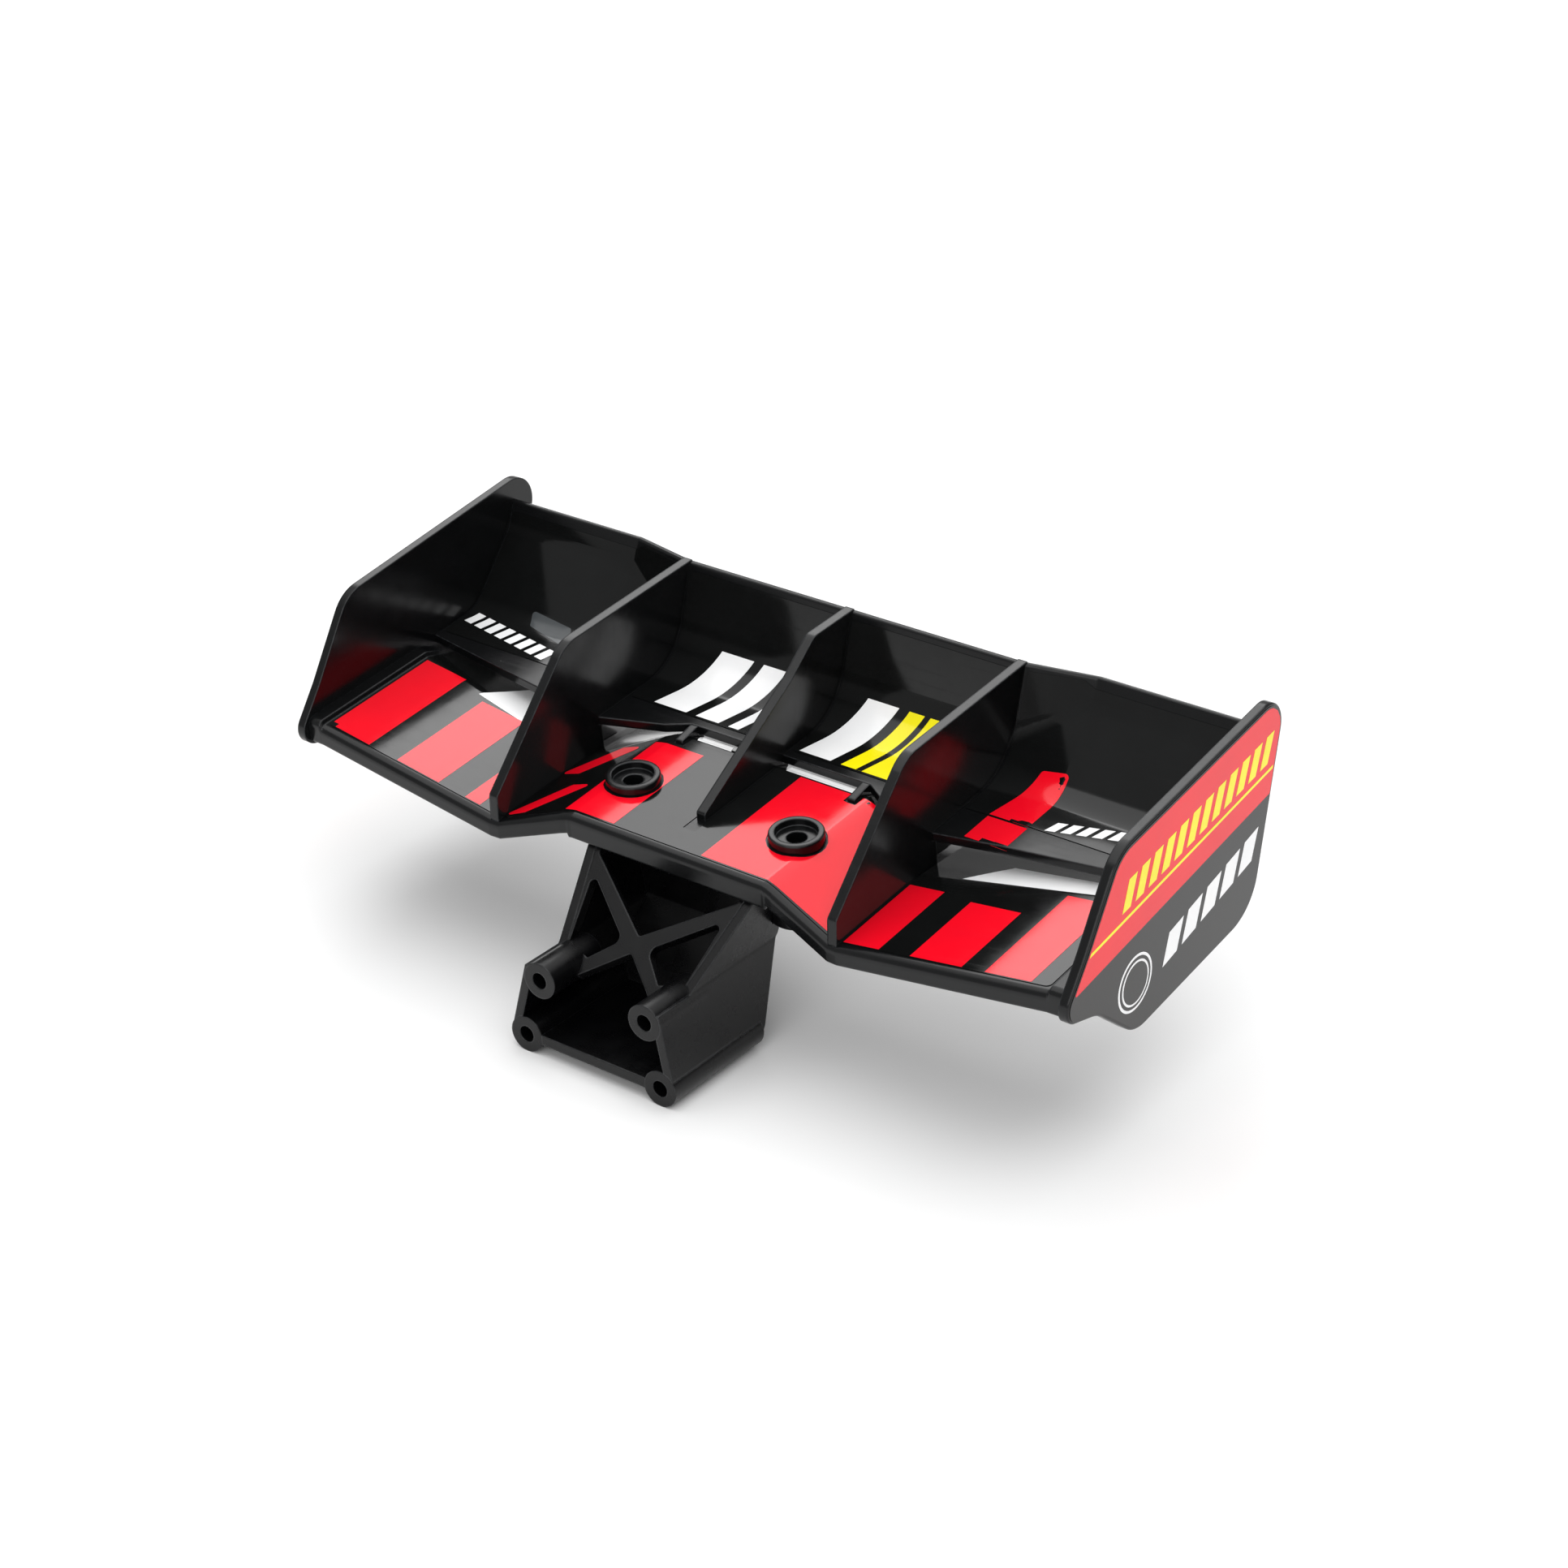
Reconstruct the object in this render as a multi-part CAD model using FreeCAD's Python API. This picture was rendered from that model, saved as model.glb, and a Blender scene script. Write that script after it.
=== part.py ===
import FreeCAD, Part
import math
import os

# Rear wing and wing mount of a radio-controlled off-road buggy.
# The wing is drawn level, in its own deck frame, then pitched nose-down onto the mount.
# X spans the wing, Y runs to the rear, Z is up. All lengths are millimetres.

V = FreeCAD.Vector
os.makedirs("parts", exist_ok=True)

DECK_PITCH = 6.0                # rear of the deck sits up by this many degrees
MOUNT_FACE_Y = -33.7            # bolting face of the mount, from the wing screws
UPPER_BOLT = (11.2, -23.4)      # half spacing and height of the upper tower bolts
LOWER_BOLT = (14.4, -35.0)      # half spacing and height of the lower tower bolts
BOLT_R = 1.5
BOSS_R = 3.3
UPPER_BOSS_LENGTH = 13.0

WING_SCREW_X = 17.5             # half spacing of the two wing screws
CUP_R = 4.85
CUP_BORE_R = 3.75
CUP_DEPTH = 1.3
WING_HOLE_R = 1.8
PILOT_R = 1.3
PILLAR_R = 4.8
PILLAR_Y = 0.4
PILLAR_FOOT_Z = -17.0

PLATE_X = 79.75                 # inner face of each endplate
PLATE_T = 1.8
FIN_X = 36.0
FIN_T = 1.8
DECK_T = 1.8
DECK_Z = -1.8                   # plateau, measured from the rim of the screw cups
VALLEY_Z = -6.6                 # deck height at the side fins
TIP_Z = -1.0                    # deck height beside the endplates
LIP_T = 1.9
FLAP_T = 1.6
FILM_T = 0.12

# (x, front face y, top z, rear crease y, lip height, rear edge z) of the deck, centre to tip
DECK_STATIONS = [
    (20.3, -14.3, DECK_Z, 16.9, 4.7, -5.2),
    (20.9, -14.4, DECK_Z - 0.1, 16.5, 4.6, -5.3),
    (21.2, -14.4, DECK_Z - 0.15, 16.3, 3.8, -5.3),
    (22.6, -14.7, DECK_Z - 0.5, 15.4, 3.8, -5.6),
    (35.0, -16.8, VALLEY_Z, 8.1, 3.7, -8.6),
    (37.0, -16.9, VALLEY_Z, 7.8, 3.7, -8.6),
    (76.8, -15.9, TIP_Z, 13.4, 3.9, -4.6),
    (77.2, -15.9, TIP_Z + 0.9, 13.5, 4.8, -4.4),
    (PLATE_X, -15.8, TIP_Z + 0.9, 14.2, 4.8, -4.3),
]
DECK_REAR_Y = 24.0              # rear edge of the deck, tucked under the flap
# plan outline of the flap's leading edge, centre to tip
FLAP_FRONT = [(19.3, 19.0), (23.3, 16.4), (35.6, 12.2), (37.0, 11.9), (51.6, 14.3), (PLATE_X + 5, 19.9)]


# middle of the flap's thickness at the fins, trailing edge first: (y, z, radius)
FLAP_CORE = [(42.0, 17.0, 0), (37.6, 4.4, 12.0), (31.9, -1.2, 12.0)]


def wire(corners, place):
    """Closed wire through corners (u, v, radius); place maps (u, v) to a vector."""
    n = len(corners)
    starts = []
    ends = []
    arcs = []
    for i in range(n):
        u, v, r = corners[i]
        p = V(u, v, 0)
        a = V(corners[i - 1][0], corners[i - 1][1], 0) - p
        b = V(corners[(i + 1) % n][0], corners[(i + 1) % n][1], 0) - p
        a.normalize()
        b.normalize()
        if r <= 0:
            starts.append(p)
            ends.append(p)
            arcs.append(None)
            continue
        half = a.getAngle(b) / 2
        bis = a + b
        bis.normalize()
        reach = r / math.tan(half)
        starts.append(p + a * reach)
        ends.append(p + b * reach)
        arcs.append(p + bis * (r / math.sin(half) - r))
    edges = []
    for i in range(n):
        if arcs[i] is not None:
            trio = [place(q.x, q.y) for q in (starts[i], arcs[i], ends[i])]
            edges.append(Part.Arc(*trio).toShape())
        here = ends[i]
        there = starts[(i + 1) % n]
        if (there - here).Length > 1e-6:
            edges.append(Part.LineSegment(place(here.x, here.y), place(there.x, there.y)).toShape())
    return Part.Wire(edges)


def prism_x(corners, x0, x1):
    """Outline in Y and Z, drawn at x0 and pushed to x1."""
    face = Part.Face(wire(corners, lambda u, v: V(x0, u, v)))
    return face.extrude(V(x1 - x0, 0, 0))


def prism_y(corners, y0, y1):
    face = Part.Face(wire(corners, lambda u, v: V(u, y0, v)))
    return face.extrude(V(0, y1 - y0, 0))


def prism_z(corners, z0, z1):
    face = Part.Face(wire(corners, lambda u, v: V(u, v, z0)))
    return face.extrude(V(0, 0, z1 - z0))


def box(x0, x1, y0, y1, z0, z1):
    return Part.makeBox(x1 - x0, y1 - y0, z1 - z0, V(x0, y0, z0))


def mirrored(shape):
    return shape.mirror(V(0, 0, 0), V(1, 0, 0))


def biggest(shape):
    return max(shape.Solids, key=lambda s: s.Volume)


def pitched(shape):
    copy = shape.copy()
    copy.rotate(V(0, 0, 0), V(1, 0, 0), DECK_PITCH)
    return copy


def outer_edges(shape, test, radius):
    """Fillet every edge whose middle passes the test."""
    picked = [e for e in shape.Edges if test(e.CenterOfMass)]
    return shape.makeFillet(radius, picked)


def both_sides(stations):
    """Repeat the stations, which run from the centre out, at minus x."""
    left = [(-s[0],) + tuple(s[1:]) for s in reversed(stations)]
    return left + list(stations)


# ---------------------------------------------------------------- wing, deck frame

def deck_section(x, front, top, crease, lip, rear):
    """Lip, flat top and the run that dives under the flap."""
    corners = [
        (front, top - lip, 0.6),
        (front, top, 1.5),
        (crease, top, 2.0),
        (DECK_REAR_Y, rear, 0.4),
        (DECK_REAR_Y - 0.3, rear - 1.4, 0.4),
        (crease - 0.5, top - DECK_T, 2.0),
        (front + LIP_T, top - DECK_T, 0.8),
        (front + LIP_T, top - lip, 0.6),
    ]
    return wire(corners, lambda u, v: V(x, u, v))


def make_deck(cups):
    sections = [deck_section(*s) for s in both_sides(DECK_STATIONS)]
    deck = Part.makeLoft(sections, True, True)
    return deck.cut(cups)


def flap_section(x, toe, corner_a, ra, corner_b, rb, tip):
    """Thin sheet: flat toe, a sweep up, then a steep trailing run."""
    line = [toe, corner_a, corner_b, tip]
    dirs = []
    for i in range(3):
        d = V(line[i + 1][0] - line[i][0], line[i + 1][1] - line[i][1], 0)
        d.normalize()
        dirs.append(d)
    back = []
    for i in range(4):
        d0 = dirs[max(i - 1, 0)]
        d1 = dirs[min(i, 2)]
        m = V(d0.y + d1.y, -d0.x - d1.x, 0)
        m.normalize()
        k = FLAP_T / (m.x * d0.y - m.y * d0.x)
        back.append((line[i][0] + m.x * k, line[i][1] + m.y * k))
    corners = [
        (line[0][0], line[0][1], 0),
        (line[1][0], line[1][1], ra),
        (line[2][0], line[2][1], rb),
        (line[3][0], line[3][1], 0.5),
        (back[3][0], back[3][1], 0.5),
        (back[2][0], back[2][1], rb + FLAP_T),
        (back[1][0], back[1][1], ra + FLAP_T),
        (back[0][0], back[0][1], 0),
    ]
    return wire(corners, lambda u, v: V(x, u, v))


def make_flap():
    inner = ((8.0, -0.5), (31.6, -0.5), 11.2, (36.8, 4.7), 11.2, (41.2, 17.4))
    outer = ((8.0, 0.0), (30.6, 0.1), 7.0, (42.2, 12.1), 6.0, (44.4, 17.0))
    sections = []
    for x, kind in both_sides([(FIN_X, inner), (49.5, outer), (PLATE_X, outer)]):
        sections.append(flap_section(x, *kind))
    sheet = Part.makeLoft(sections, True, True)
    plan = [(x, y, 0) for x, y in FLAP_FRONT]
    plan += [(PLATE_X + 5, 60, 0), (-PLATE_X - 5, 60, 0)]
    plan += [(-x, y, 0) for x, y in reversed(FLAP_FRONT)]
    return sheet.common(prism_z(plan, -10, 40))


def make_side_fin(deck, flap):
    corners = [
        (-16.4, -8.0, 0), (-16.0, -2.0, 1.0), (5.6, 17.8, 7.0), (41.9, 17.5, 0),
    ] + FLAP_CORE + [(13.0, -1.2, 0), (13.0, -12.5, 0), (6.0, -8.0, 0)]
    fin = prism_x(corners, FIN_X - FIN_T / 2, FIN_X + FIN_T / 2)
    return biggest(fin.cut([deck, flap]))


def make_centre_fin(deck, flap):
    corners = [
        (-3.6, -2.4, 0), (-3.6, -0.3, 0.7), (22.6, 12.8, 10.0), (29.9, 17.85, 3.0), (41.9, 17.5, 0),
    ] + FLAP_CORE + [(20.2, -1.2, 0), (20.2, -4.5, 0), (16.0, -2.4, 0)]
    fin = prism_x(corners, -FIN_T / 2, FIN_T / 2)
    return biggest(fin.cut([deck, flap]))


def make_endplate():
    """Right endplate: eight-cornered blade with rounded corners and eased outer edges."""
    corners = [
        (-19.3, -4.1, 3.2), (-11.7, 5.0, 20.0), (-1.7, 18.7, 7.5), (51.5, 21.5, 5.4),
        (41.0, -17.3, 9.0), (2.9, -18.8, 7.5), (-8.2, -8.2, 10.0),
    ]
    plate = prism_x(corners, PLATE_X, PLATE_X + PLATE_T)
    limit = PLATE_X + PLATE_T - 0.01
    return outer_edges(plate, lambda c: c.x > limit, 0.35)


def make_screw_cup():
    """Counterbored collar that the wing screw head sits in."""
    bottom = DECK_Z - DECK_T
    cup = Part.makeCylinder(CUP_R, -bottom, V(WING_SCREW_X, 0, bottom))
    cup = outer_edges(cup, lambda c: c.z > -0.01, 0.35)
    cup = cup.cut(Part.makeCylinder(CUP_BORE_R, 10, V(WING_SCREW_X, 0, -CUP_DEPTH)))
    return cup.cut(Part.makeCylinder(WING_HOLE_R, 20, V(WING_SCREW_X, 0, -15)))


def make_slot_tab(deck, flap):
    """Small rib that ties the deck to the flap across the slot."""
    corners = [
        (14.3, DECK_Z - 0.5, 0), (14.3, -1.2, 0.3), (18.6, -0.5, 0), (20.4, -0.5, 0),
        (20.4, -4.6, 0), (16.5, -2.6, 0),
    ]
    tab = prism_x(corners, 17.8, 19.3)
    return biggest(tab.cut([deck, flap]))


def make_deck_film(deck, plan, keep_out):
    """Printed film on the deck, following its facets."""
    lifted = deck.copy()
    lifted.translate(V(0, 0, FILM_T))
    film = lifted.common(prism_z(plan, -12, 3)).cut([deck] + keep_out)
    return biggest(film)


def centre_deck_plan():
    half = [(20.6, -12.6, 2.0), (35.0, -15.0, 0.6), (35.0, 19.5, 0.6)]
    return half + [(-x, y, r) for x, y, r in reversed(half)]


def outer_deck_plan():
    return [(37.1, -15.1, 0.6), (76.3, -14.1, 1.0), (76.3, 20.5, 1.0), (37.1, 19.5, 0.6)]


def make_flap_film(flap, x0, x1, keep_out):
    """Printed film on one bay of the flap, following its sweep."""
    lifted = flap.copy()
    lifted.translate(V(0, -0.09, FILM_T))
    plan = []
    for x in (x0 + 0.5, x1 - 0.5):
        plan.append((x, 40.6 if abs(x) < 36.5 else 43.4, 0.5))
    plan = [(x0 + 0.5, 21.0, 0.5), (x1 - 0.5, 21.0, 0.5), plan[1], plan[0]]
    film = lifted.common(prism_z(plan, -0.45, 16.2)).cut([flap] + keep_out)
    return biggest(film)


def make_endplate_film():
    corners = [
        (-18.5, -3.9, 2.7), (-11.3, 4.7, 20.5), (-1.4, 18.2, 7.0), (50.8, 21.0, 4.9),
        (40.6, -16.8, 8.5), (3.1, -18.3, 7.0), (-7.9, -7.8, 9.5),
    ]
    x = PLATE_X + PLATE_T
    return prism_x(corners, x, x + FILM_T)


# ------------------------------------------------------------- mount, installed frame

def make_boss(place, length):
    x, z = place
    tube = Part.makeCylinder(BOSS_R, length, V(x, MOUNT_FACE_Y, z), V(0, 1, 0))
    return tube.cut(Part.makeCylinder(BOLT_R, length, V(x, MOUNT_FACE_Y, z), V(0, 1, 0)))


def boss_envelope(place, length):
    x, z = place
    return Part.makeCylinder(BOSS_R, length, V(x, MOUNT_FACE_Y, z), V(0, 1, 0))


def make_mount_wall(keep_out):
    """Side wall: leans out below the crease and out again above it."""
    section = [
        (19.1, -3.0, 0), (14.2, -21.0, 1.5), (17.55, -34.8, 0),
        (15.9, -34.8, 0), (12.5, -21.0, 1.5), (17.4, -3.0, 0),
    ]
    slab = prism_y(section, MOUNT_FACE_Y, 5)
    side = [
        (MOUNT_FACE_Y, -21.2, 0), (-25.0, -21.2, 0), (-6.8, -3.0, 0), (-1.0, -3.0, 0),
        (-0.9, -20.4, 0.6), (-9.2, -35.4, 3.5), (MOUNT_FACE_Y, -35.4, 0),
    ]
    return biggest(slab.common(prism_x(side, 5, 25)).cut(keep_out))


def make_mount_floor(keep_out):
    floor = box(-14.4, 14.4, MOUNT_FACE_Y, -10.2, -35.9, -34.1)
    return biggest(floor.cut(keep_out))


def make_mount_back(keep_out):
    """Rear panel between the walls: upright above their crease, leaning in to the floor below it."""
    profile = [
        (-1.1, -3.0, 0), (-1.1, -20.5, 0), (-9.3, -35.9, 0), (-10.2, -35.9, 0),
        (-10.2, -34.1, 0), (-2.8, -20.6, 0), (-2.8, -3.0, 0),
    ]
    half = [(18.2, -3.0, 0), (13.3, -21.0, 0), (16.7, -34.8, 0), (13.0, -36.0, 0)]
    between = prism_y(half + [(-x, z, r) for x, z, r in reversed(half)], MOUNT_FACE_Y, 5)
    return biggest(prism_x(profile, -19, 19).common(between).cut(keep_out))


def make_brace(keep_out):
    """Flat X between the walls, leaning back at 45 degrees up to the wing."""
    outline = [(19.0, -3.0, 0), (-19.0, -3.0, 0), (-14.2, -21.0, 0), (-11.2, -23.4, 0), (-8.1, -24.0, 0)]
    outline += [(0, -19.1, 0.9), (8.1, -24.0, 0), (11.2, -23.4, 0), (14.2, -21.0, 0)]
    top_window = [(0, -16.9, 0.9), (14.7, -9.1, 0.7), (15.6, -6.2, 0.5), (-15.6, -6.2, 0.5), (-14.7, -9.1, 0.7)]
    side_window = [(2.7, -18.0, 0.9), (14.1, -11.5, 0.8), (12.4, -20.4, 0.4), (7.6, -21.5, 0.4)]

    def slab(corners, depth):
        face = Part.Face(wire(corners, lambda u, v: V(u, v - 3.8, v)))
        return face.extrude(V(0, depth, -depth))

    plate = slab(outline, 1.5)
    holes = []
    for corners in (top_window, side_window, [(-u, v, r) for u, v, r in side_window]):
        hole = slab(corners, 6.0)
        hole.translate(V(0, -2, 2))
        holes.append(hole)
    return biggest(plate.cut(holes).cut(keep_out))


def pillar_envelope():
    return Part.makeCylinder(PILLAR_R, 20, V(WING_SCREW_X, PILLAR_Y, PILLAR_FOOT_Z))


def make_pillar(above):
    """Long boss under the deck that the wing screw threads into."""
    pillar = outer_edges(pillar_envelope(), lambda c: c.z < PILLAR_FOOT_Z + 0.01, 0.7)
    pilot = Part.makeCylinder(PILOT_R, 12, V(WING_SCREW_X, 0, DECK_Z - DECK_T - 10))
    return pillar.cut([above, pitched(pilot)])


# --------------------------------------------------------------------------- assembly

def build():
    cup = make_screw_cup()
    sleeve = Part.makeCylinder(CUP_R, 12, V(WING_SCREW_X, 0, -8))
    deck = make_deck([sleeve, mirrored(sleeve)])
    flap = make_flap()
    side_fin = make_side_fin(deck, flap)
    centre_fin = make_centre_fin(deck, flap)
    tab = make_slot_tab(deck, flap)
    endplate = make_endplate()
    collar = Part.makeCylinder(CUP_R + 0.4, 12, V(WING_SCREW_X, 0, -8))
    guard = prism_x([(-7.0, -5.0, 0), (-7.0, 19.0, 0), (43.0, 19.0, 0), (43.0, -5.0, 0)], -1.3, 1.3)
    tab_guard = box(17.4, 19.7, 13.8, 20.0, -5, 2)
    around = [collar, mirrored(collar), guard, tab_guard, mirrored(tab_guard)]
    films = {
        "film_deck_centre": make_deck_film(deck, centre_deck_plan(), around),
        "film_deck_right": make_deck_film(deck, outer_deck_plan(), []),
        "film_flap_inner_right": make_flap_film(flap, 0.9, FIN_X - 0.9, [side_fin]),
        "film_flap_outer_right": make_flap_film(flap, FIN_X + 0.9, PLATE_X, [side_fin]),
        "film_endplate_right": make_endplate_film(),
    }
    wing = {
        "wing_deck": deck,
        "wing_flap": flap,
        "fin_centre": centre_fin,
        "fin_right": side_fin,
        "endplate_right": endplate,
        "screw_cup_right": cup,
        "slot_tab_right": tab,
    }
    wing.update(films)

    nodes = {}
    for name in wing:
        nodes[name] = pitched(wing[name])

    upper = boss_envelope(UPPER_BOLT, UPPER_BOSS_LENGTH)
    lower = boss_envelope(LOWER_BOLT, 24.5)
    bosses = [upper, lower, mirrored(upper), mirrored(lower)]
    above = pitched(box(-60, 60, -30, 40, DECK_Z - DECK_T, 20))
    pillar = make_pillar(above)
    stems = [pillar_envelope(), mirrored(pillar_envelope())]
    wall = make_mount_wall(bosses + stems + [above])
    walls = [wall, mirrored(wall)]
    nodes["mount_boss_upper_right"] = make_boss(UPPER_BOLT, UPPER_BOSS_LENGTH)
    nodes["mount_boss_lower_right"] = make_boss(LOWER_BOLT, 24.5)
    nodes["mount_wall_right"] = wall
    nodes["mount_pillar_right"] = pillar
    nodes["mount_floor"] = make_mount_floor(bosses + walls)
    nodes["mount_back"] = make_mount_back(bosses + walls + stems + [above, nodes["mount_floor"]])
    nodes["mount_brace"] = make_brace(bosses + walls + stems + [above])

    for name in list(nodes):
        if name.endswith("_right"):
            nodes[name[:-5] + "left"] = mirrored(nodes[name])

    for name, shape in nodes.items():
        out = shape.copy()
        out.translate(V(0, -MOUNT_FACE_Y, -UPPER_BOLT[1]))
        out.exportStep("parts/" + name + ".step")
        bb = out.BoundBox
        print(name, out.ShapeType, out.isValid(), len(out.Solids), round(out.Volume, 1),
              [round(c, 1) for c in (bb.XMin, bb.XMax, bb.YMin, bb.YMax, bb.ZMin, bb.ZMax)])


build()
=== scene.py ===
import math

import bmesh
import bpy
from mathutils import Matrix, Vector
from mathutils.bvhtree import BVHTree


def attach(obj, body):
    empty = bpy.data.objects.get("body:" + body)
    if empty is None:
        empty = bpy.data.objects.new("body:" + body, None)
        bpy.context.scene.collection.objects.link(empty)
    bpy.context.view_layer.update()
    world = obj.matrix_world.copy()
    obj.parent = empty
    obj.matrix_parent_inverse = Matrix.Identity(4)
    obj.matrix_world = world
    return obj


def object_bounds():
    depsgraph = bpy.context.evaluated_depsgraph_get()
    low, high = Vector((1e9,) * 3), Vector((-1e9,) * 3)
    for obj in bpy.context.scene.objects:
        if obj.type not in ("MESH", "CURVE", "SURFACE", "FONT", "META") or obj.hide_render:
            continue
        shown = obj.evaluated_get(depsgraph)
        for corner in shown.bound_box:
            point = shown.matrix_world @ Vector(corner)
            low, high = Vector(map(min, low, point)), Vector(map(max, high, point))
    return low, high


# Rear wing and wing mount of a radio-controlled off-road buggy.
# Every CAD node stays and gets a worked material; the printing is thin geometry laid onto the
# films and one lip of the flap. It is all plain bands, patches, slanted bars and rings.

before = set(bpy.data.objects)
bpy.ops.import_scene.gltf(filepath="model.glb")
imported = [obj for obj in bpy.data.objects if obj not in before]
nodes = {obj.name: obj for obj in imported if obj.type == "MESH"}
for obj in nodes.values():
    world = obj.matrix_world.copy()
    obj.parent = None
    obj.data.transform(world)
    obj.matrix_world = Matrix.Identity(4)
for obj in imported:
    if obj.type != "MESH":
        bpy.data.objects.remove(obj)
cad_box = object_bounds()

MM = 0.001
DECK_PITCH = math.radians(6.0)          # the deck frame is tipped back by this much
DECK_ORIGIN = (0.0, 33.7, 23.4)         # between the screw cups, in row frame millimetres


# ------------------------------------------------------------------ frames

def turn(x, y, z):
    """A deck frame direction in the row frame."""
    c = math.cos(DECK_PITCH)
    s = math.sin(DECK_PITCH)
    return Vector((x, y * c - z * s, y * s + z * c))


def place(x, y, z):
    """A deck frame point in millimetres, in row frame metres."""
    return (turn(x, y, z) + Vector(DECK_ORIGIN)) * MM


# ------------------------------------------------------------------ materials

NOISE_ROUGHNESS = 0.55
STREAK_TURN = (0.3, 0.2, 0.7)           # stretched noise runs at this angle, not along an axis
EDGE_SAMPLES = 6
EDGE_DOT = (0.80, 0.985)                # agreement of rounded and flat normals, from edge to face
MOULD_EDGE_RADIUS = 0.00045             # this and the two heights are in metres
WAVE_HEIGHT = 0.0004
GRAIN_HEIGHT = 0.00004
WAVE_STRENGTH = 0.06
FILM_ROUGHNESS = (0.09, 0.13)


def srgb(r, g, b):
    """Linear colour from a display colour."""
    out = []
    for value in (r, g, b):
        v = value / 255.0
        out.append(v / 12.92 if v <= 0.04045 else ((v + 0.055) / 1.055) ** 2.4)
    return (out[0], out[1], out[2], 1.0)


class Shader:
    """A node material being put together round one Principled shader."""

    def __init__(self, name):
        self.material = bpy.data.materials.new(name)
        self.material.use_nodes = True
        self.tree = self.material.node_tree
        self.surface = self.tree.nodes["Principled BSDF"]
        self.coords = self.tree.nodes.new("ShaderNodeTexCoord").outputs["Object"]

    def link(self, a, b):
        self.tree.links.new(a, b)

    def noise(self, scale, detail=3.0, stretch=None):
        node = self.tree.nodes.new("ShaderNodeTexNoise")
        node.inputs["Scale"].default_value = scale
        node.inputs["Detail"].default_value = detail
        node.inputs["Roughness"].default_value = NOISE_ROUGHNESS
        source = self.coords
        if stretch:
            mapping = self.tree.nodes.new("ShaderNodeMapping")
            mapping.inputs["Scale"].default_value = stretch
            mapping.inputs["Rotation"].default_value = STREAK_TURN
            self.link(source, mapping.inputs["Vector"])
            source = mapping.outputs["Vector"]
        self.link(source, node.inputs["Vector"])
        return node.outputs["Fac"]

    def spread(self, value, low, high, start=0.3, end=0.7):
        """Maps a 0 to 1 value onto low to high."""
        node = self.tree.nodes.new("ShaderNodeMapRange")
        node.inputs["From Min"].default_value = start
        node.inputs["From Max"].default_value = end
        node.inputs["To Min"].default_value = low
        node.inputs["To Max"].default_value = high
        self.link(value, node.inputs["Value"])
        return node.outputs["Result"]

    def math(self, operation, a, b):
        node = self.tree.nodes.new("ShaderNodeMath")
        node.operation = operation
        for socket, value in zip(node.inputs, (a, b)):
            if isinstance(value, float):
                socket.default_value = value
            else:
                self.link(value, socket)
        return node.outputs[0]

    def mix(self, factor, a, b):
        """Mixes two colours, each a constant or a socket."""
        node = self.tree.nodes.new("ShaderNodeMix")
        node.data_type = "RGBA"
        self.link(factor, node.inputs[0])
        for socket, value in ((node.inputs[6], a), (node.inputs[7], b)):
            if isinstance(value, tuple):
                socket.default_value = value
            else:
                self.link(value, socket)
        return node.outputs[2]

    def bump(self, height, strength, distance, normal=None):
        node = self.tree.nodes.new("ShaderNodeBump")
        node.inputs["Strength"].default_value = strength
        node.inputs["Distance"].default_value = distance
        self.link(height, node.inputs["Height"])
        if normal is not None:
            self.link(normal, node.inputs["Normal"])
        return node.outputs["Normal"]

    def rounded(self, radius):
        """Normals that roll over each sharp edge, and a mask that is 1 on the edges."""
        bevel = self.tree.nodes.new("ShaderNodeBevel")
        bevel.samples = EDGE_SAMPLES
        bevel.inputs["Radius"].default_value = radius
        geometry = self.tree.nodes.new("ShaderNodeNewGeometry")
        dot = self.tree.nodes.new("ShaderNodeVectorMath")
        dot.operation = "DOT_PRODUCT"
        self.link(bevel.outputs["Normal"], dot.inputs[0])
        self.link(geometry.outputs["Normal"], dot.inputs[1])
        mask = self.spread(dot.outputs["Value"], 1.0, 0.0, *EDGE_DOT)
        return bevel.outputs["Normal"], mask


def moulded_plastic(name, dark, light, edge_wear_and_highlight, rough_low, rough_high, grain):
    """Injection-moulded nylon: mottled colour, fine texture, faint sink waves, and grey edges that
    are partly wear and partly a painted highlight.
    """
    s = Shader(name)
    mottled = s.mix(s.spread(s.noise(140.0, 4.0), 0.0, 1.0), dark, light)
    normal, edge = s.rounded(MOULD_EDGE_RADIUS)
    # painted highlight: the grey mixed onto the rounded edges is partly wear and partly stands in
    # for the light lines the edges catch
    scuff_and_highlight_mask = s.math("MULTIPLY", edge, s.spread(s.noise(900.0, 3.0), 0.15, 0.85))
    s.link(s.mix(scuff_and_highlight_mask, mottled, edge_wear_and_highlight), s.surface.inputs["Base Color"])
    rough = s.spread(s.noise(260.0, 5.0), rough_low, rough_high)
    streaks = s.spread(s.noise(1.0, 2.0, (60.0, 900.0, 60.0)), 0.0, 0.05, 0.55, 0.75)
    s.link(s.math("ADD", rough, streaks), s.surface.inputs["Roughness"])
    waves = s.bump(s.noise(55.0, 1.0), WAVE_STRENGTH, WAVE_HEIGHT, normal)
    s.link(s.bump(s.noise(4200.0, 2.0), grain, GRAIN_HEIGHT, waves), s.surface.inputs["Normal"])
    s.surface.inputs["Specular IOR Level"].default_value = 0.32
    return s.material


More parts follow.
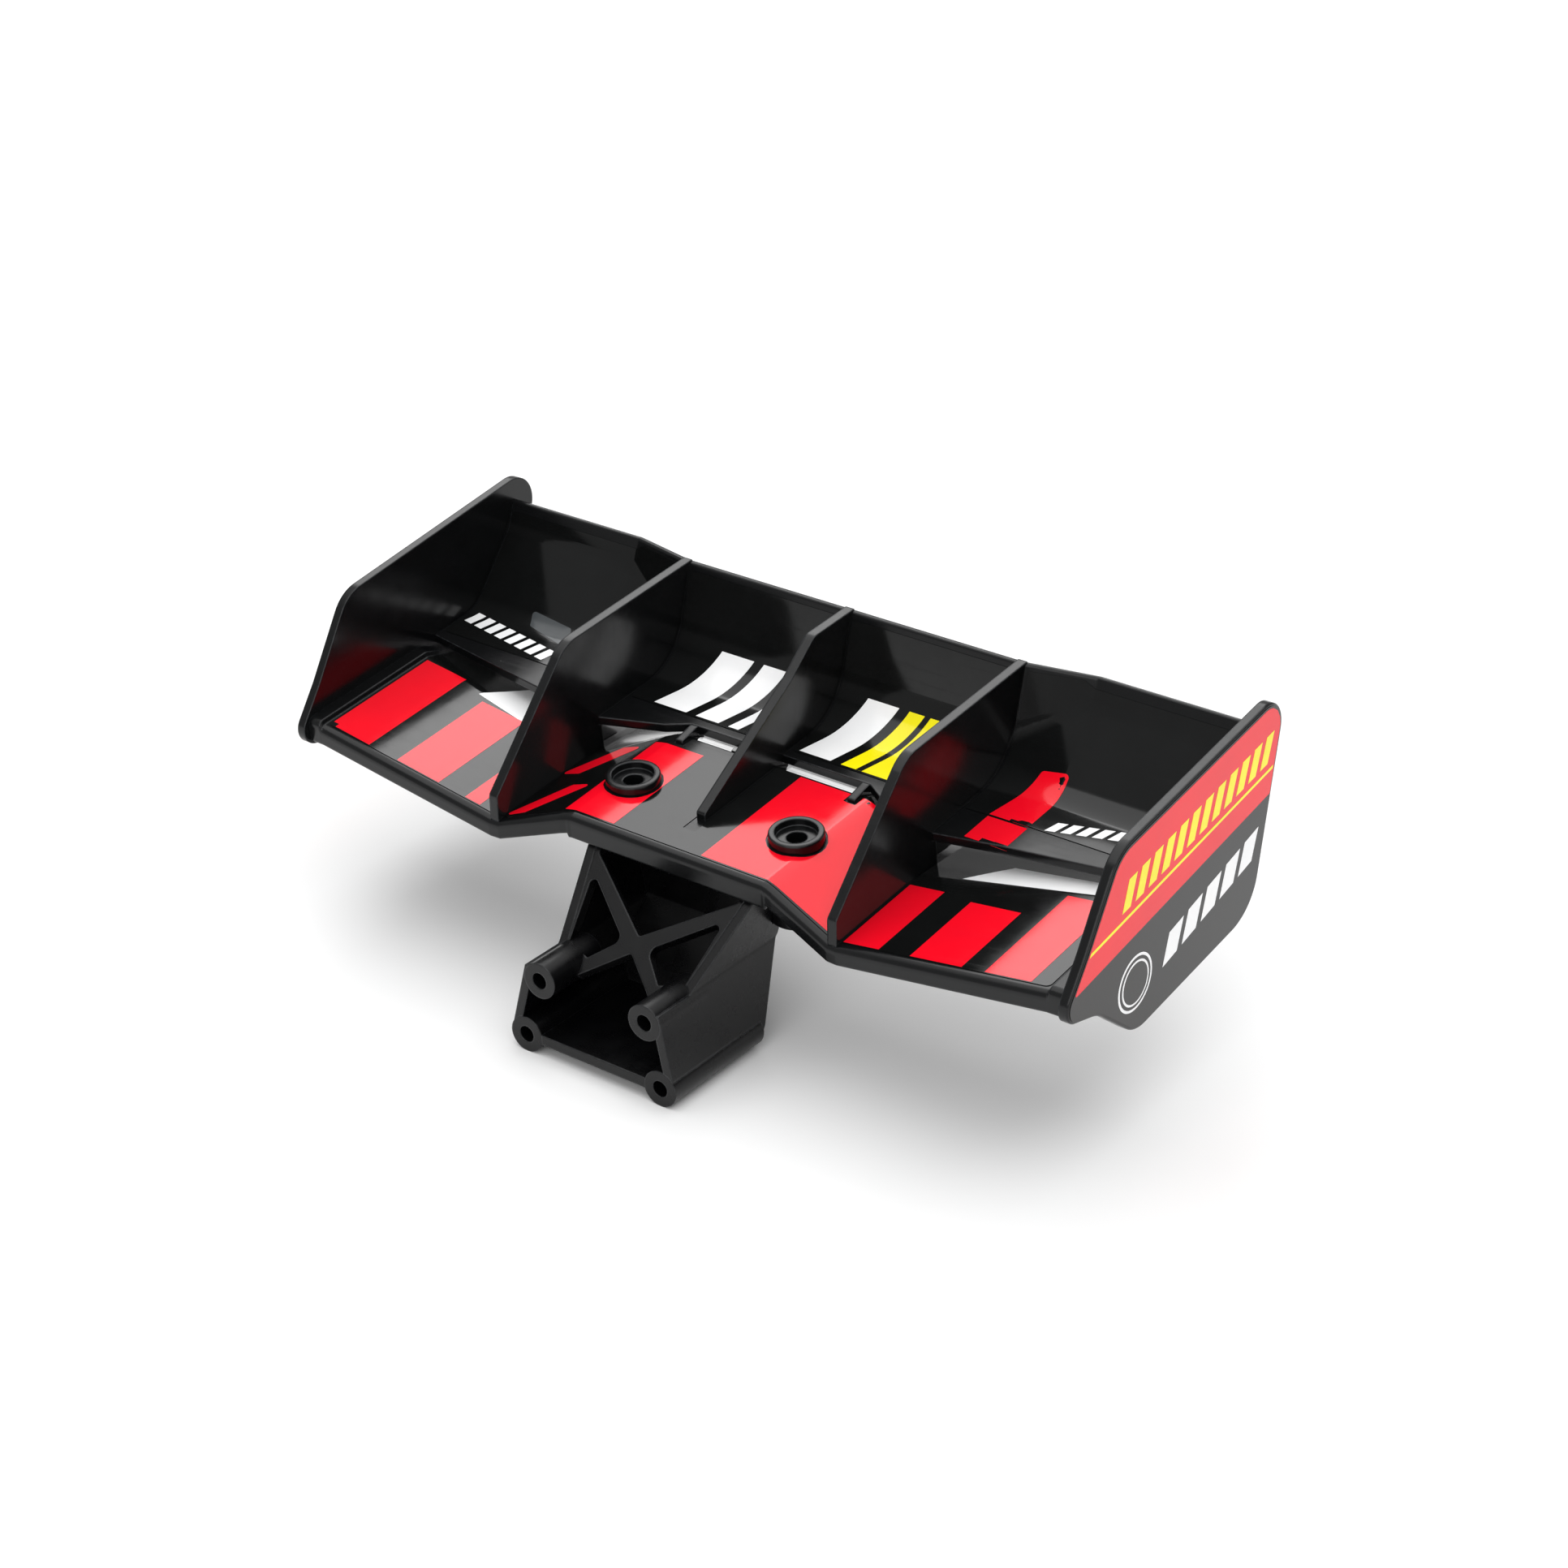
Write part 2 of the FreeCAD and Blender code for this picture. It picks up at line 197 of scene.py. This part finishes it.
def printed_film(name, colour, faded):
    """Laminated vinyl: even ink under a clear coat with orange peel and hairline scratches."""
    s = Shader(name)
    ink = s.mix(s.spread(s.noise(90.0, 3.0), 0.0, 1.0), colour, faded)
    speck = s.spread(s.noise(2600.0, 2.0), 0.0, 0.35, 0.68, 0.80)
    s.link(s.mix(speck, ink, faded), s.surface.inputs["Base Color"])
    rough = s.spread(s.noise(300.0, 4.0), *FILM_ROUGHNESS)
    hairline = s.spread(s.noise(1.0, 3.0, (45.0, 3000.0, 45.0)), 0.0, 0.10, 0.60, 0.78)
    s.link(s.math("ADD", rough, hairline), s.surface.inputs["Roughness"])
    peel = s.bump(s.noise(700.0, 2.0), WAVE_STRENGTH, GRAIN_HEIGHT)
    s.link(s.bump(s.noise(60.0, 1.0), WAVE_STRENGTH, WAVE_HEIGHT, peel), s.surface.inputs["Normal"])
    s.surface.inputs["Specular IOR Level"].default_value = 0.34
    s.surface.inputs["Coat Weight"].default_value = 0.06
    s.surface.inputs["Coat Roughness"].default_value = 0.05
    return s.material


# the third colour of each is the edge grey, partly wear and partly a painted highlight
WING_PLASTIC = moulded_plastic(
    "wing_moulding", srgb(9, 10, 11), srgb(14, 15, 16), srgb(64, 67, 70), 0.17, 0.24, 0.02)
MOUNT_PLASTIC = moulded_plastic(
    "mount_moulding", srgb(4, 4, 5), srgb(8, 8, 9), srgb(58, 60, 62), 0.24, 0.33, 0.03)
FILM = {
    "black": printed_film("film_black_gloss", srgb(10, 11, 11), srgb(15, 16, 16)),
    "red": printed_film("film_red_ink", srgb(243, 8, 32), srgb(236, 10, 34)),
    "white": printed_film("film_white_ink", srgb(250, 250, 250), srgb(244, 245, 246)),
    "yellow": printed_film("film_yellow_ink", srgb(252, 240, 16), srgb(246, 232, 18)),
    "grey": printed_film("film_grey_ink", srgb(62, 66, 68), srgb(72, 75, 77)),
}


def paint(node, material):
    """Gives a CAD node one material."""
    mesh = nodes[node].data
    mesh.materials.clear()
    mesh.materials.append(material)
    for polygon in mesh.polygons:
        polygon.material_index = 0


for node_name in nodes:
    if node_name.startswith("film_"):
        paint(node_name, FILM["black"])
    elif node_name.startswith("mount_"):
        paint(node_name, MOUNT_PLASTIC)
    else:
        paint(node_name, WING_PLASTIC)


# ------------------------------------------------------------------ printing on the films

ARC_STEPS = 6
RING_STEPS = 48
NEARLY_STRAIGHT = 3.1                   # a corner wider than this, in radians, isn't rounded
PRINT_LIFT = 0.03                       # each printed layer's height over the one below, mm
PRINT_THICKNESS = 0.04                  # mm
SHARP_ANGLE = math.radians(12)
CUT_TOLERANCE = 1e-6


def rounded_outline(corners):
    """Plan points of a polygon; a corner may have a third number, its radius."""
    points = []
    count = len(corners)
    for i, corner in enumerate(corners):
        here = Vector(corner[:2])
        radius = corner[2] if len(corner) > 2 else 0.0
        before = (Vector(corners[i - 1][:2]) - here).normalized()
        after = (Vector(corners[(i + 1) % count][:2]) - here).normalized()
        angle = before.angle(after)
        if radius == 0.0 or angle > NEARLY_STRAIGHT:
            points.append(here)
            continue
        reach = radius / math.tan(angle / 2)
        centre = here + (before + after).normalized() * (radius / math.sin(angle / 2))
        start = here + before * reach - centre
        end = here + after * reach - centre
        for k in range(ARC_STEPS + 1):
            share = k / ARC_STEPS
            spoke = start * (1 - share) + end * share
            points.append(centre + spoke.normalized() * radius)
    return points


def ring_outline(u, v, radius):
    """Plan points of a full circle."""
    points = []
    for k in range(RING_STEPS):
        angle = 2 * math.pi * k / RING_STEPS
        points.append((u + radius * math.cos(angle), v + radius * math.sin(angle)))
    return points


def band(x0, x1, y0, y1, slant=0.0):
    """A straight band from y0 to y1 whose far end is shifted sideways by slant."""
    return [(x0, y0), (x1, y0), (x1 + slant, y1), (x0 + slant, y1)]


def bar_row(start, end, count, fill, rise, lean):
    """A row of equal slanted bars from start to end; fill is each bar's share of its pitch."""
    bars = []
    step_u = (end[0] - start[0]) / count
    step_v = (end[1] - start[1]) / count
    for k in range(count):
        u = start[0] + step_u * k
        v = start[1] + step_v * k
        far_u = u + step_u * fill
        far_v = v + step_v * fill
        bars.append([(u, v), (far_u, far_v), (far_u + lean, far_v + rise), (u + lean, v + rise)])
    return bars


def inked(ink, layer, outlines):
    return [(ink, layer, outline) for outline in outlines]


def mirror(outline):
    return [(-p[0], *p[1:]) for p in reversed(outline)]


def both_ways(folds):
    """Fold lines and their mirror images."""
    return folds + [((-a[0], a[1]), (-b[0], b[1])) for a, b in folds]


class Surface:
    """A plan that shapes are drawn on, and how it lands on the wing."""

    def __init__(self, start, toward, landing, clip, folds, step, holes=()):
        self.start = start
        self.toward = toward
        self.folds = folds
        self.holes = holes
        self.clip = clip
        self.step = step
        self.trees = []
        for node in landing:
            mesh = nodes[node].data
            corners = [v.co.copy() for v in mesh.vertices]
            faces = [tuple(p.vertices) for p in mesh.polygons]
            self.trees.append(BVHTree.FromPolygons(corners, faces))

    def land(self, u, v, lift):
        """The first surface met by a plan point, and a little above it."""
        origin = self.start(u, v)
        best = None
        for tree in self.trees:
            hit, normal, _, distance = tree.ray_cast(origin, self.toward)
            if hit is not None and (best is None or distance < best[2]):
                best = (hit, normal, distance)
        if best is None:
            return None
        normal = best[1] if best[1].dot(self.toward) < 0 else -best[1]
        return best[0] + normal * lift * MM


def cut_plan(bm, point, normal, clear=False):
    """Divides the faces along a line, and with clear drops what lies beyond it."""
    geometry = bm.verts[:] + bm.edges[:] + bm.faces[:]
    bmesh.ops.bisect_plane(
        bm, geom=geometry, plane_co=point, plane_no=normal, clear_outer=clear,
        dist=CUT_TOLERANCE)


def open_hole(bm, middle, radius):
    """Clears a round hole: faces inside go, and corners inside move out to its rim."""
    inside = {v for v in bm.verts if (v.co - middle).length < radius}
    gone = [f for f in bm.faces if all(v in inside for v in f.verts)]
    bmesh.ops.delete(bm, geom=gone, context="FACES")
    for vertex in bm.verts:
        spoke = vertex.co - middle
        if 0 < spoke.length < radius:
            vertex.co = middle + spoke.normalized() * radius


def plan_mesh(surface, outline):
    """A flat shape, clipped to the surface's plan and divided so that it can follow it."""
    bm = bmesh.new()
    face = bm.faces.new([bm.verts.new((p[0], p[1], 0.0)) for p in outline])
    face.normal_update()
    if face.normal.z < 0:
        face.normal_flip()
    clip = surface.clip
    for i, corner in enumerate(clip):
        following = clip[(i + 1) % len(clip)]
        edge = Vector((following[0] - corner[0], following[1] - corner[1], 0.0))
        cut_plan(bm, (corner[0], corner[1], 0.0), (edge.y, -edge.x, 0.0), True)
    for a, b in surface.folds:
        cut_plan(bm, (a[0], a[1], 0.0), (b[1] - a[1], a[0] - b[0], 0.0))
    if bm.verts:
        for axis in (0, 1):
            low = min(v.co[axis] for v in bm.verts)
            high = max(v.co[axis] for v in bm.verts)
            count = int((high - low) / surface.step[axis])
            normal = (1.0, 0.0, 0.0) if axis == 0 else (0.0, 1.0, 0.0)
            for k in range(1, count + 1):
                at = low + (high - low) * k / (count + 1)
                cut_plan(bm, (at, at, 0.0), normal)
    bmesh.ops.triangulate(bm, faces=bm.faces[:])
    for hole in surface.holes:
        open_hole(bm, Vector((hole[0], hole[1], 0.0)), hole[2])
    bm.verts.index_update()
    return bm


def keep_rim_sharp(mesh):
    """Marks every open edge sharp, so that the added thickness doesn't smear the shading."""
    bm = bmesh.new()
    bm.from_mesh(mesh)
    for edge in bm.edges:
        if len(edge.link_faces) < 2:
            edge.smooth = False
    bm.to_mesh(mesh)
    bm.free()


def lay_print(name, surface, shapes):
    """One printed sheet: shapes of one or more inks, laid down and given a little thickness."""
    inks = []
    corners = []
    faces = []
    indices = []
    for ink, layer, outline in shapes:
        if ink not in inks:
            inks.append(ink)
        bm = plan_mesh(surface, rounded_outline(outline))
        landed = {}
        for vertex in bm.verts:
            point = surface.land(vertex.co.x, vertex.co.y, PRINT_LIFT * (layer + 1))
            if point is not None:
                landed[vertex.index] = len(corners)
                corners.append(point)
        for face in bm.faces:
            keys = [vertex.index for vertex in face.verts]
            if all(key in landed for key in keys):
                faces.append([landed[key] for key in keys])
                indices.append(inks.index(ink))
        bm.free()
    mesh = bpy.data.meshes.new(name)
    mesh.from_pydata(corners, [], faces)
    for ink in inks:
        mesh.materials.append(FILM[ink])
    for polygon, index in zip(mesh.polygons, indices):
        polygon.material_index = index
        polygon.use_smooth = True
    mesh.update()
    mesh.set_sharp_from_angle(angle=SHARP_ANGLE)
    keep_rim_sharp(mesh)
    outward = sum(1 if p.normal.dot(surface.toward) < 0 else -1 for p in mesh.polygons)
    if outward < 0:
        mesh.flip_normals()
    piece = bpy.data.objects.new(name, mesh)
    bpy.context.scene.collection.objects.link(piece)
    body = piece.modifiers.new("thickness", "SOLIDIFY")
    body.thickness = PRINT_THICKNESS * MM
    body.offset = -1.0
    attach(piece, "root")


# ------------------------------------------------------------------ surfaces that take the prints

TAB_GAP = (17.25, 19.85, 13.65)         # the film is cut away round each slot tab: sides and front

# lines in plan that the deck prints are divided along: the ridges and creases where they bend,
# and the edges of TAB_GAP, so that the cut-out stays clean
OUTER_FOLDS = both_ways([((37.0, 7.8), (76.8, 13.4))])
CENTRE_FOLDS = both_ways(
    [((x, 0.0), (x, 1.0)) for x in (TAB_GAP[0], TAB_GAP[1], 20.3, 22.6)]
    + [((20.3, 16.9), (22.6, 15.4)), ((22.6, 15.4), (35.0, 8.1))])
CENTRE_FOLDS += [((0.0, 16.9), (1.0, 16.9)), ((0.0, TAB_GAP[2]), (1.0, TAB_GAP[2]))]

# where a print starts before it lands, mm: over the deck, off the flap's plan, out from the middle
DECK_ABOVE = 30.0
FLAP_AWAY = 60.0
PLATE_BESIDE = 120.0
SLOPE = math.sqrt(0.5)                  # the flap's plan is tipped up by 45 degrees

CENTRE_PLAN = [(-34.8, -14.6), (34.8, -14.6), (34.8, 19.3), (-34.8, 19.3)]
RIGHT_PLAN = [(37.3, -14.9), (76.1, -13.9), (76.1, 20.3), (37.3, 19.3)]
CUP_HOLES = ((-17.5, 0.0, 5.3), (17.5, 0.0, 5.3))
FLAP_START = 14.9                       # distance up the flap's plan, just inside the films
FLAP_END = 42.0
PLATE_PLAN = [(-40.0, -40.0), (70.0, -40.0), (70.0, 40.0), (-40.0, 40.0)]

# the widest strips a print is divided into before it lands, mm: across the plan, then along it
DECK_STEP = (1.2, 1.2)
FLAP_STEP = (3.0, 1.0)
PLATE_STEP = (30.0, 30.0)


def over_deck(u, v):
    return place(u, v, DECK_ABOVE)


def over_flap(u, t):
    return place(u, t * SLOPE - FLAP_AWAY * SLOPE, t * SLOPE + FLAP_AWAY * SLOPE)


def beside_right(u, v):
    return place(PLATE_BESIDE, u, v)


def beside_left(u, v):
    return place(-PLATE_BESIDE, u, v)


def deck_surface(film, clip, folds, holes=()):
    return Surface(over_deck, turn(0, 0, -1), [film], clip, folds, DECK_STEP, holes)


def flap_surface(node, x0, x1, t0=FLAP_START, t1=FLAP_END):
    clip = band(x0, x1, t0, t1)
    return Surface(over_flap, turn(0, SLOPE, -SLOPE), [node], clip, (), FLAP_STEP)


def plate_surface(side, start, inward):
    return Surface(start, turn(inward, 0, 0), ["film_endplate_" + side], PLATE_PLAN, (), PLATE_STEP)


deck_centre = deck_surface("film_deck_centre", CENTRE_PLAN, CENTRE_FOLDS, CUP_HOLES)
deck_right = deck_surface("film_deck_right", RIGHT_PLAN, OUTER_FOLDS)
deck_left = deck_surface("film_deck_left", mirror(RIGHT_PLAN), OUTER_FOLDS)
flap_left_outer = flap_surface("film_flap_outer_left", -79.1, -37.5)
flap_left_inner = flap_surface("film_flap_inner_left", -34.5, -1.5)
flap_right_inner = flap_surface("film_flap_inner_right", 1.5, 34.5)
flap_right_outer = flap_surface("film_flap_outer_right", 37.5, 79.1)
flap_lip = flap_surface("wing_flap", 42.0, 51.0, 9.4, 14.5)
plate_right = plate_surface("right", beside_right, -1)
plate_left = plate_surface("left", beside_left, 1)


# ------------------------------------------------------------------ what is printed
# each shape is an ink, a layer (0 is the lowest) and an outline in plan millimetres

lay_print("print_deck_left", deck_left, [
    ("red", 0, band(-76.0, -66.7, -15.5, 12.4)),
    ("red", 0, band(-60.0, -50.2, -15.8, 9.0)),
    ("red", 0, band(-44.0, -40.6, -15.8, 7.6)),
    ("white", 0, [(-62.0, 10.4), (-43.0, 7.8), (-43.0, 12.0), (-57.0, 20.5)]),
])
lay_print("print_deck_centre", deck_centre, [
    ("red", 0, band(-22.8, -12.1, -12.3, 13.0)),
    ("red", 0, [(-35.5, -14.6, 0.6), (-31.4, -13.4, 0.6), (-24.6, -3.0, 0.6), (-28.8, -3.2, 0.6)]),
    ("red", 0, [(-35.4, 1.2, 0.6), (-31.2, 1.2, 0.6), (-24.6, 11.4, 0.6), (-28.8, 11.2, 0.6)]),
    ("red", 0, [(6.6, -12.3), (20.6, -12.3), (34.6, -14.4), (34.6, 16.2), (6.6, 16.2)]),
    ("white", 1, [(-16.2, 16.6), (-8.8, 16.6), (-10.4, 19.4), (-17.6, 19.4)]),
    ("white", 1, [(3.2, 16.6), (17.4, 16.6), (17.4, 19.4), (2.4, 19.4)]),
])
lay_print("print_deck_right", deck_right, [
    ("red", 0, band(37.2, 44.2, -15.4, 4.4)),
    ("red", 0, band(50.2, 60.0, -15.4, 3.2)),
    ("red", 0, band(64.3, 72.9, -15.2, 10.6)),
    ("white", 0, [(44.6, 9.2), (75.4, 13.4), (75.4, 19.0), (50.0, 17.0)]),
])


STRIPE_END = 28.4
STRIPE_SLANT = 4.8


def stripe(x0, x1):
    """A slanted stripe up the flap, from FLAP_START."""
    return band(x0, x1, FLAP_START, STRIPE_END, STRIPE_SLANT)


left_outer_shapes = inked("white", 0, bar_row((-78.4, 18.4), (-55.4, 15.4), 8, 0.66, 2.5, 0.9))
left_outer_shapes += [
    ("grey", 0, [(-67.0, 24.7, 0.6), (-57.0, 23.6, 0.6), (-55.9, 19.6, 0.6), (-65.7, 21.6, 0.6)]),
]
lay_print("print_flap_left_outer", flap_left_outer, left_outer_shapes)
lay_print("print_flap_left_inner", flap_left_inner, [
    ("white", 0, stripe(-29.6, -22.4)),
    ("white", 0, stripe(-20.2, -15.2)),
    ("white", 0, stripe(-13.0, -10.8)),
])
lay_print("print_flap_right_inner", flap_right_inner, [
    ("white", 0, stripe(2.6, 9.2)),
    ("yellow", 0, stripe(11.4, 21.6)),
    ("black", 1, stripe(14.6, 15.8)),
])
right_outer_shapes = [
    ("red", 0, [(42.2, FLAP_START), (50.2, FLAP_START), (50.4, 26.4, 0.8), (45.0, 25.6, 0.8)]),
]
right_outer_shapes += inked("white", 0, bar_row((53.0, 15.2), (68.6, 18.4), 6, 0.66, 2.2, 0.8))
lay_print("print_flap_right_outer", flap_right_outer, right_outer_shapes)
lay_print("print_flap_lip_right", flap_lip, [("red", 0, band(42.2, 50.2, 9.4, 14.5))])

# the endplate prints are drawn for the right side and mirrored for the left
PLATE_RED = [
    (-15.4, -0.6, 0.3), (-10.9, 4.8, 19.0), (-1.3, 17.8, 6.7), (50.3, 20.6, 4.5), (45.8, 3.6, 0.3),
]
UNDERLINE = [(-10.9, 4.4), (46.5, 8.1), (46.7, 8.7), (-10.4, 5.0)]
BADGE = (2.7, -8.6)
BADGE_DISCS = (("white", 5.2), ("black", 4.7), ("white", 4.1), ("black", 3.7))
PLATE_SHAPES = [
    ("red", 0, PLATE_RED),
    ("yellow", 1, UNDERLINE),
]
PLATE_SHAPES += inked("yellow", 1, bar_row((-1.2, 6.9), (46.2, 10.0), 12, 0.62, 5.4, 2.2))
PLATE_SHAPES += inked("white", 0, bar_row((11.2, -10.8), (41.6, -6.4), 5, 0.74, 5.6, 2.2))
for disc_layer, (disc_ink, disc_radius) in enumerate(BADGE_DISCS):
    PLATE_SHAPES.append((disc_ink, disc_layer, ring_outline(*BADGE, disc_radius)))
lay_print("print_endplate_right", plate_right, PLATE_SHAPES)
lay_print("print_endplate_left", plate_left, PLATE_SHAPES)


# ------------------------------------------------------------------ floor, light and camera

box_low, box_high = cad_box
centre = (box_low + box_high) / 2
FLOOR_REACH = 6.0                       # metres, as are the places and sizes of the lights
WORLD_STRENGTH = 0.42
LIGHTS = (
    # name, place, size, watts
    ("overhead", (0.0, 0.1, 1.5), (2.4, 2.4), 29.0),
    ("back_left", (-0.47, 0.60, 0.58), (0.55, 0.40), 1.9),
    ("front_fill", (0.35, -1.30, 0.75), (1.2, 0.8), 7.0),
    ("right_side", (1.00, -0.25, 0.35), (0.7, 0.6), 0.8),
)

# the camera goes round the look-at point by these angles
LOOK_AT = Vector((12.25, 37.32, 29.12)) * MM
AZIMUTH = math.radians(36.104)
ELEVATION = math.radians(27.547)
ROLL = math.radians(0.328)
DISTANCE = 551.0 * MM
SENSOR_WIDTH = 36.0
LENS = 75.162
CLIP_START = 0.05
CLIP_END = 20.0


def pale_floor():
    s = Shader("studio_floor")
    tone = s.mix(s.spread(s.noise(6.0, 3.0), 0.0, 1.0), srgb(244, 244, 244), srgb(240, 240, 240))
    s.link(tone, s.surface.inputs["Base Color"])
    s.surface.inputs["Roughness"].default_value = 0.9
    s.surface.inputs["Specular IOR Level"].default_value = 0.1
    mesh = bpy.data.meshes.new("studio_floor")
    signs = ((-1, -1), (1, -1), (1, 1), (-1, 1))
    corners = [(x * FLOOR_REACH, y * FLOOR_REACH, box_low.z) for x, y in signs]
    mesh.from_pydata(corners, [], [(0, 1, 2, 3)])
    mesh.materials.append(s.material)
    floor = bpy.data.objects.new("studio_floor", mesh)
    bpy.context.scene.collection.objects.link(floor)


def pale_world():
    world = bpy.data.worlds.new("studio")
    world.use_nodes = True
    background = world.node_tree.nodes["Background"]
    background.inputs["Color"].default_value = (1.0, 1.0, 1.0, 1.0)
    background.inputs["Strength"].default_value = WORLD_STRENGTH
    bpy.context.scene.world = world


def soft_light(name, location, size, watts):
    """A rectangular light turned to the middle of the part."""
    data = bpy.data.lights.new(name, "AREA")
    data.shape = "RECTANGLE"
    data.size = size[0]
    data.size_y = size[1]
    data.energy = watts
    light = bpy.data.objects.new(name, data)
    light.location = location
    light.rotation_mode = "QUATERNION"
    light.rotation_quaternion = (centre - Vector(location)).to_track_quat("-Z", "Y")
    bpy.context.scene.collection.objects.link(light)


def photo_camera():
    back = Vector((
        math.sin(AZIMUTH) * math.cos(ELEVATION),
        -math.cos(AZIMUTH) * math.cos(ELEVATION),
        math.sin(ELEVATION),
    ))
    level = Vector((0.0, 0.0, 1.0)).cross(back).normalized()
    rise = back.cross(level)
    right = level * math.cos(ROLL) + rise * math.sin(ROLL)
    up = rise * math.cos(ROLL) - level * math.sin(ROLL)
    data = bpy.data.cameras.new("camera")
    data.sensor_width = SENSOR_WIDTH
    data.lens = LENS
    data.clip_start = CLIP_START
    data.clip_end = CLIP_END
    camera = bpy.data.objects.new("camera", data)
    matrix = Matrix((right, up, back)).transposed().to_4x4()
    matrix.translation = LOOK_AT + back * DISTANCE
    camera.matrix_world = matrix
    bpy.context.scene.collection.objects.link(camera)
    bpy.context.scene.camera = camera


pale_floor()
pale_world()
for light_name, light_place, light_size, light_watts in LIGHTS:
    soft_light(light_name, light_place, light_size, light_watts)
photo_camera()
bpy.context.scene.view_settings.view_transform = "Standard"
